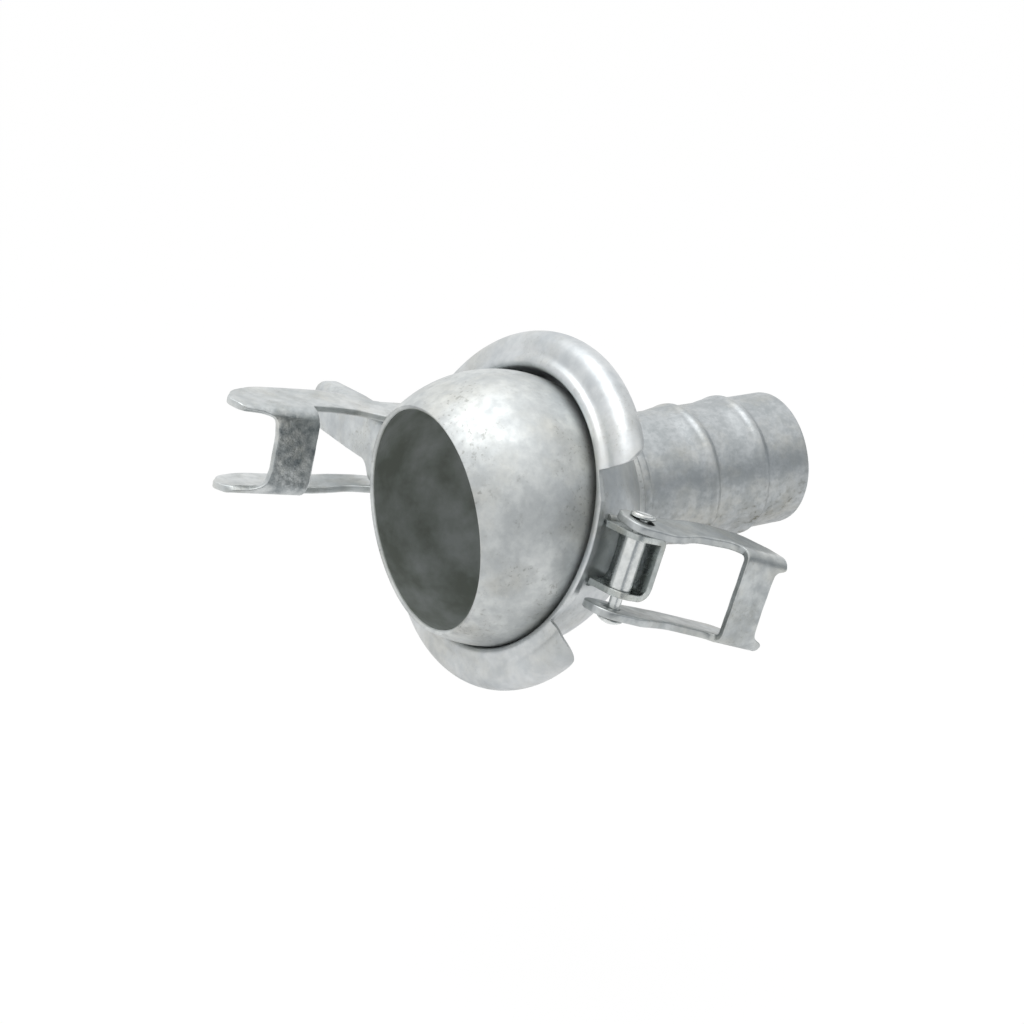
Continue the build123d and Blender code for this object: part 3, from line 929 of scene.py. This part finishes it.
    def build(self) -> bpy.types.Object:
        """Builds the hook, and marks its web with the attribute that the rough crust reads.

        Returns:
            The finished piece.
        """
        loops = [self.waved(self.blank()), *self.holes()]
        spots, kept = fill_plan([rim(loop, self.edge_round) for loop in loops], self.column, self.row)
        height = self.plate / 2
        points = [self.bent(spot, height) for spot in spots] + [self.bent(spot, -height) for spot in spots]
        shares = [self.web_share(spot) for spot in spots] * 2
        count = len(spots)
        faces = [tuple(face) for face in kept] + [tuple(i + count for i in reversed(face)) for face in kept]
        first = 0
        for loop in loops:
            last = first + len(loop)
            rings = [list(range(first, last))]
            for side, turn in EDGE_TURNS:
                angle = math.radians(turn)
                lift = side * (height - self.edge_round * (1 - math.cos(angle)))
                edge = rim(loop, self.edge_round * (1 - math.sin(angle)))
                rings.append(added(points, [self.bent(spot, lift) for spot in edge]))
                shares.extend(self.edge_crust * self.web_share(spot) for spot in edge)
            rings.append([count + i for i in range(first, last)])
            faces.extend(join_rings(rings))
            first = last
        piece = self.put(points, faces, sharp=70.0)
        piece.data.attributes.new(WEB_SHARE, "FLOAT", "POINT").data.foreach_set("value", shares)
        return piece


@dataclass
class PressedLever(Piece):
    """The lever: a sheet pressed into a channel that is open below, with ears for its pins at the root.

    Sizes are millimetres. The lever's frame has its tongue along X from the pin, and its face towards Y.
    """

    half: float = 19.05
    sheet: float = 2.2
    fold: float = 4.0
    ear: float = 8.6
    face_start: float = 6.0
    # The longest piece of the outline, and how far apart the points inside it lie.
    outline_step: float = 1.4
    grid: float = 2.4
    # The face's height over the pin, along the lever.
    profile: tuple[tuple[float, float], ...] = (
        (-8.6, 8.6), (9.0, 17.4), (12.5, 18.0), (38.0, 17.0), (52.0, 15.7), (112.6, 8.0))
    # The plan from the corner of one ear, round the tongue's tip, to the corner of the other.
    plan: tuple[Corner, ...] = (
        (-8.6, -19.05, 4.0), (20.5, -19.05, 8.0), (27.5, -9.2, 10.0), (104.0, -11.2, 15.0),
        (104.0, 18.4, 15.0), (60.0, 20.2, 60.0), (19.3, 19.05, 30.0), (-8.6, 19.05, 4.0))

    def face_height(self, x: float) -> float:
        """Gives the height of the face over the pin.

        Args:
            x: The distance from the pin along the lever.

        Returns:
            The height.
        """
        for (x0, y0), (x1, y1) in zip(self.profile, self.profile[1:]):
            if x <= x1:
                return y0 + (y1 - y0) * (x - x0) / (x1 - x0)
        return self.profile[-1][1]

    def rim_height(self, spot: Vector) -> float:
        """Gives the height of the turned-down rim's lower edge, which is round at the ears.

        Args:
            spot: A point of the outline.

        Returns:
            The height over the pin.
        """
        if spot.x < 0:
            return -math.sqrt(max(0.0, self.ear ** 2 - spot.x ** 2))
        return -self.ear * (1 - ease((spot.x - 20.0) / 17.0))

    def rounding(self, x: float) -> float:
        """Gives the radius of the fold between face and rim, which shrinks to the bare sheet at the ears."""
        return self.sheet + (self.fold - self.sheet) * ease((x - 4.0) / 10.0)

    def fold_ring(self, loop: list[Vector], inward: float, turn: float) -> list[Vector]:
        """Makes one ring of the fold between face and rim.

        Args:
            loop: The plan outline.
            inward: 0 for the outside of the sheet, or the sheet's thickness for its inside.
            turn: How far round the fold, in degrees, from the rim to the face.

        Returns:
            The ring's points.
        """
        angle = math.radians(turn)
        points = []
        for spot, inner in zip(loop, rim(loop, 1.0)):
            radius = max(0.05, self.rounding(spot.x) - inward)
            moved = spot + (inner - spot) * (inward + radius * (1 - math.cos(angle)))
            height = self.face_height(moved.x) - inward - radius * (1 - math.sin(angle))
            points.append(Vector((moved.x, max(height, self.rim_height(spot)), moved.y)))
        return points

    def edge_ring(self, loop: list[Vector], inward: float) -> list[Vector]:
        """Makes one ring of the rim's lower edge, which is rounded at the sheet's two sides.

        Args:
            loop: The plan outline.
            inward: How deep in the sheet the ring lies, from 0 on its outside.

        Returns:
            The ring's points.
        """
        lift = 0.0 if 0.0 < inward < self.sheet else 0.5
        return [Vector((moved.x, self.rim_height(spot) + lift, moved.y))
                for moved, spot in zip(rim(loop, inward), loop)]

    def outline(self) -> tuple[list[Vector], tuple[int, ...]]:
        """Draws the plan, with two of its points moved to where the face starts.

        Returns:
            The plan outline, counterclockwise, and the numbers of those two points.
        """
        loop = rounded_loop(list(self.plan), self.outline_step)
        ends = tuple(
            min(range(len(loop)), key=lambda i: abs(loop[i].x - self.face_start) + abs(loop[i].y - side))
            for side in (-self.half, self.half))
        for i in ends:
            loop[i].x = self.face_start
        return loop, ends

    def stacked(self, loop: list[Vector], points: list[Vector]) -> list[list[int]]:
        """Adds the rings that run from the face's outside over fold, rim and edge to its inside.

        Args:
            loop: The plan outline.
            points: The mesh's points, first the face's outside and then its inside, which get the rings'.

        Returns:
            The numbers of each ring's points, from the face's outside to its inside.
        """
        size, count = len(loop), len(points) // 2
        rings = [list(range(size))]
        rings += [added(points, self.fold_ring(loop, 0.0, turn)) for turn in (67.5, 45.0, 22.5, 0.0)]
        depths = (0.0, 0.5, self.sheet - 0.5, self.sheet)
        rings += [added(points, self.edge_ring(loop, inward)) for inward in depths]
        rings += [added(points, self.fold_ring(loop, self.sheet, turn)) for turn in (0.0, 30.0, 60.0)]
        return [*rings, [count + i for i in range(size)]]

    def build(self) -> bpy.types.Object:
        """Builds the lever, with its face cut away between the ears.

        Returns:
            The finished piece.
        """
        loop, ends = self.outline()
        size = len(loop)
        plan = [spot + (inner - spot) * self.rounding(spot.x) for spot, inner in zip(loop, rim(loop, 1.0))]
        spots, flat = fill_plan([plan], self.grid, self.grid, ends)
        count = len(spots)
        outer = [Vector((spot.x, self.face_height(spot.x), spot.y)) for spot in spots]
        points = outer + [point - Vector((0.0, self.sheet, 0.0)) for point in outer]
        rings = self.stacked(loop, points)
        kept = [face for face in flat if sum(spots[i].x for i in face) / 3 > self.face_start]
        faces = [tuple(reversed(face)) for face in kept] + [tuple(i + count for i in face) for face in kept]
        # The channel is open at its root, so the rim has no wall there.
        root = 0.5 - self.ear
        walls = [(i, (i + 1) % size) for i in range(size) if max(loop[i].x, loop[(i + 1) % size].x) > root]
        faces.extend((upper[j], lower[j], lower[i], upper[i])
                     for i, j in walls for upper, lower in zip(rings, rings[1:]))
        # Where the face stops, the sheet's thickness closes each edge that has a face on one side only.
        sides = Counter(tuple(sorted(pair)) for face in kept for pair in zip(face, face[1:] + face[:1]))
        sides.update(tuple(sorted(pair)) for pair in walls)
        faces.extend((a, b, b + count, a + count) for (a, b), uses in sides.items() if uses == 1)
        faces.extend(tuple(ring[i] for ring in rings) for i in (walls[0][0], walls[-1][1]))
        return self.put(points, faces)


# Where the loose ring hangs, and the hooks and the lever on it, as in the part's own frames.
RING_PLACE = shift(0, 0.5, 1.4) @ spin("Z", 6.1) @ spin("Y", 19.7) @ spin("X", 3.0)
SWING_PLACE = RING_PLACE @ shift(15.2, -96.0, 0.36) @ spin("Z", -7.0) @ spin("Y", 2.2) @ spin("X", 3.4)
HOOK_RIVET_PLACE = RING_PLACE @ shift(15.2, -96.0, 1.6)
LEVER_PLACE = RING_PLACE @ shift(15.2, 96.0, -1.2) @ spin("Y", -9.8) @ spin("X", 3.8) @ spin("Z", 91.5)
LATCH_PLACE = LEVER_PLACE @ shift(19.31, -2.714, 0) @ spin("Z", -100.1) @ spin("Y", 180)
ALONG_TAIL = spin("Y", 90)


def made_pieces() -> tuple[Turned | PressedLever | BentHook, ...]:
    """Lists the pieces that are made here.

    Returns:
        The pieces, each of which stands in the place of a plainer node.
    """
    return (
        Turned("beaded_hose_tail", "hose_tail", "coupling", "hose_tail", ALONG_TAIL, TAIL_ZINC,
               outline=TailProfile().outline(), sides=160, wave=0.35),
        Turned("dressed_neck_seam", "neck_weld", "coupling", "welds", ALONG_TAIL, TAIL_ZINC,
               outline=[(37.6, 71.9), (38.15, 72.3), (38.5, 73.2), (38.62, 74.6), (38.5, 76.2),
                        (38.15, 77.2), (37.6, 77.7)], sides=160, wave=0.2),
        # From the domed lower head, up the shank, to the flat upper head.
        Turned("swing_hook_rivet", "hook_rivet", "ring", "rivets", HOOK_RIVET_PLACE, PIN_ZINC,
               outline=[(0.02, -32.0), (2.6, -31.75), (4.6, -31.1), (5.9, -30.3), (6.6, -29.6), (6.5, -29.15),
                        (6.0, -29.0), (3.2, -28.9), (3.2, 23.3), (4.9, 23.65), (6.2, 24.0), (6.6, 24.3),
                        (6.7, 24.8), (6.6, 25.6), (6.2, 26.1), (5.5, 26.3), (4.6, 26.2), (3.9, 25.9),
                        (0.02, 25.8)], sides=48),
        PressedLever("pressed_lever", "lever_handle", "lever", "lever_handle", LEVER_PLACE, LEVER_ZINC),
        BentHook("bent_swing_hook", "swing_hook", "hook", "swing_hook", SWING_PLACE, SWING_ZINC,
                 web=20.5, hole_r=5.1, loose_side=-1, skew=4.5, relief=[(61.5, 28.3, 8.0)],
                 beak=[(76.0, 50.8, 14.0), (87.5, 35.8, 8.0), (89.0, 26.8, 4.0), (89.0, 20.5, 1.6),
                       (82.6, 18.0, 4.0), (82.0, 12.0, 4.0)]),
        BentHook("bent_latch_hook", "latch_hook", "latch", "latch_hook", LATCH_PLACE, LATCH_ZINC,
                 web=24.6, hole_r=3.35, web_face=-18.0, arm_near=-7.0,
                 relief=[(61.5, 17.5, 7.0), (65.0, 29.0, 3.0)],
                 beak=[(93.0, 54.0, 30.0), (107.5, 46.0, 14.0), (114.0, 34.0, 7.0), (109.0, 23.4, 8.0),
                       (96.0, 22.0, 12.0), (87.5, 19.5, 8.0), (86.0, 10.0, 8.0)]),
    )


@dataclass(frozen=True)
class GreyWall:
    """One curved grey wall that stands round the object, and that only metal mirrors.

    Its ends are compass angles in degrees, from +X towards +Y. Its heights and radius are metres.
    """

    name: str
    ends: tuple[float, float]
    heights: tuple[float, float]
    tone: str
    radius: float = 2.2
    steps: int = 24


@dataclass
class Studio:
    """White room, soft lamp, grey walls beside the camera and the camera of the photograph."""

    camera_place: tuple[float, float, float] = (-0.4607, -0.7877, 0.2978)
    azimuth: float = -30.971
    elevation: float = 18.215
    lens: float = 63.28
    floor_z: float = -0.30
    floor_half: float = 60.0
    # The floor glows a little over white to the camera and mirrors, and keeps 7 percent of its shadow there.
    floor_glow: float = 1.02
    floor_glow_share: float = 0.93
    walls: tuple[GreyWall, ...] = (
        GreyWall("wall_front", (-118.0, -52.0), (-0.55, 0.75), "#8C9298"),
        GreyWall("wall_right", (-52.0, 10.0), (-0.25, 0.80), "#A9AEB2"),
    )
    lamp_place: tuple[float, float, float] = (-0.12, 0.02, 1.3)
    lamp_size: tuple[float, float] = (1.15, 0.95)
    lamp_watts: float = 6.6

    def build(self) -> None:
        """Builds the whole studio."""
        self.place_camera()
        self.build_world()
        self.build_floor()
        for wall in self.walls:
            self.build_wall(wall)
        self.hang_lamp()
        bpy.context.scene.view_settings.view_transform = "Standard"

    def place_camera(self) -> None:
        """Makes the camera at the photograph's viewpoint."""
        data = bpy.data.cameras.new("camera")
        data.lens = self.lens
        data.sensor_width = 36.0
        data.clip_start = 0.01
        camera = bpy.data.objects.new("camera", data)
        camera.location = self.camera_place
        camera.rotation_euler = (math.radians(90 - self.elevation), 0.0, math.radians(self.azimuth))
        bpy.context.scene.collection.objects.link(camera)
        bpy.context.scene.camera = camera

    def background_rays(self, tree: Tree) -> Socket:
        """Tells the rays that see or mirror the background from the ones that light the object.

        Args:
            tree: The tree of the floor's material or of the world.

        Returns:
            A socket that is 1 for camera, glossy and transmission rays.
        """
        path = add_node(tree, "ShaderNodeLightPath").outputs
        mirrored = add_node(tree, "ShaderNodeMath", {"operation": "MAXIMUM"},
                            {0: path["Is Glossy Ray"], 1: path["Is Transmission Ray"]})
        return add_node(tree, "ShaderNodeMath", {"operation": "MAXIMUM"},
                        {0: path["Is Camera Ray"], 1: mirrored.outputs[0]}).outputs[0]

    def build_world(self) -> None:
        """Makes the white surround."""
        world = bpy.data.worlds.new("room")
        bpy.context.scene.world = world
        world.use_nodes = True
        tree = world.node_tree
        tree.nodes.clear()
        room = add_node(tree, "ShaderNodeBackground", {"Color": linear("#E9EAEB"), "Strength": 1.0})
        white = add_node(tree, "ShaderNodeBackground", {"Color": (1, 1, 1, 1), "Strength": 1.0})
        seen = add_node(tree, "ShaderNodeMixShader",
                        links={0: self.background_rays(tree), 1: room.outputs[0], 2: white.outputs[0]})
        add_node(tree, "ShaderNodeOutputWorld", links={"Surface": seen.outputs[0]})

    def build_floor(self) -> None:
        """Makes the pale floor, white to the camera, that still takes a soft shadow."""
        half, z = self.floor_half, self.floor_z
        corners = [(-half, -half, z), (half, -half, z), (half, half, z), (-half, half, z)]
        material = blank_material("pale_paper")
        tree = material.node_tree
        share = add_node(tree, "ShaderNodeMath", {"operation": "MULTIPLY", 1: self.floor_glow_share},
                         {0: self.background_rays(tree)})
        paper = add_node(tree, "ShaderNodeBsdfDiffuse", {"Color": linear("#F2F1EF")})
        glow = add_node(tree, "ShaderNodeEmission", {"Color": (1, 1, 1, 1), "Strength": self.floor_glow})
        mixed = add_node(tree, "ShaderNodeMixShader",
                         links={0: share.outputs[0], 1: paper.outputs[0], 2: glow.outputs[0]})
        add_node(tree, "ShaderNodeOutputMaterial", links={"Surface": mixed.outputs[0]})
        self.stand("floor", corners, [(0, 1, 2, 3)], material)

    def build_wall(self, wall: GreyWall) -> None:
        """Stands one grey wall, which neither the camera, diffuse light nor a shadow meets.

        Args:
            wall: Its name, place and tone.
        """
        paint = blank_material(f"{wall.name}_paint")
        glow = add_node(paint.node_tree, "ShaderNodeEmission", {"Color": linear(wall.tone), "Strength": 1.0})
        add_node(paint.node_tree, "ShaderNodeOutputMaterial", links={"Surface": glow.outputs[0]})
        first, last = wall.ends
        points = []
        for step in range(wall.steps + 1):
            angle = math.radians(first + (last - first) * step / wall.steps)
            points.extend((wall.radius * math.cos(angle), wall.radius * math.sin(angle), height)
                          for height in wall.heights)
        faces = [(2 * i, 2 * i + 2, 2 * i + 3, 2 * i + 1) for i in range(wall.steps)]
        sheet = self.stand(wall.name, points, faces, paint)
        sheet.visible_camera = False
        sheet.visible_diffuse = False
        sheet.visible_shadow = False

    def stand(self, name: str, points: list, faces: list, material: bpy.types.Material) -> bpy.types.Object:
        """Stands a sheet in the studio and marks it as none of the object's pieces.

        Args:
            name: The sheet's name.
            points: Its corners in metres.
            faces: Its faces, as numbers of corners.
            material: Its material.

        Returns:
            The new sheet.
        """
        mesh = bpy.data.meshes.new(name)
        mesh.from_pydata(points, [], faces)
        mesh.materials.append(material)
        sheet = bpy.data.objects.new(name, mesh)
        bpy.context.scene.collection.objects.link(sheet)
        return sheet

    def hang_lamp(self) -> None:
        """Hangs the rectangular soft lamp that faces the coupling from above."""
        data = bpy.data.lights.new("top_lamp", "AREA")
        data.shape = "RECTANGLE"
        data.size, data.size_y = self.lamp_size
        data.energy = self.lamp_watts
        lamp = bpy.data.objects.new("top_lamp", data)
        lamp.location = self.lamp_place
        lamp.rotation_euler = (-Vector(self.lamp_place)).to_track_quat("-Z", "Y").to_euler()
        bpy.context.scene.collection.objects.link(lamp)


def main() -> None:
    """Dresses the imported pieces, makes the finer ones, then builds the studio around them."""
    ZincPieces({
        "ball": BALL_ZINC, "closing_ring": RING_ZINC,
        "hook_bracket": STRAP_ZINC, "lever_bracket": STRAP_ZINC,
        "hook_bracket_welds": WELD_ZINC, "lever_bracket_welds": WELD_ZINC,
        "hook_sleeve": PIN_ZINC, "lever_sleeve": PIN_ZINC, "lever_rivet": PIN_ZINC, "latch_rivet": PIN_ZINC,
    }).dress()
    for piece in made_pieces():
        LOG.info("%s has %d faces", piece.name, len(piece.build().data.polygons))
    Studio().build()


if __name__ == "__main__":
    logging.basicConfig(level=logging.INFO)
    main()
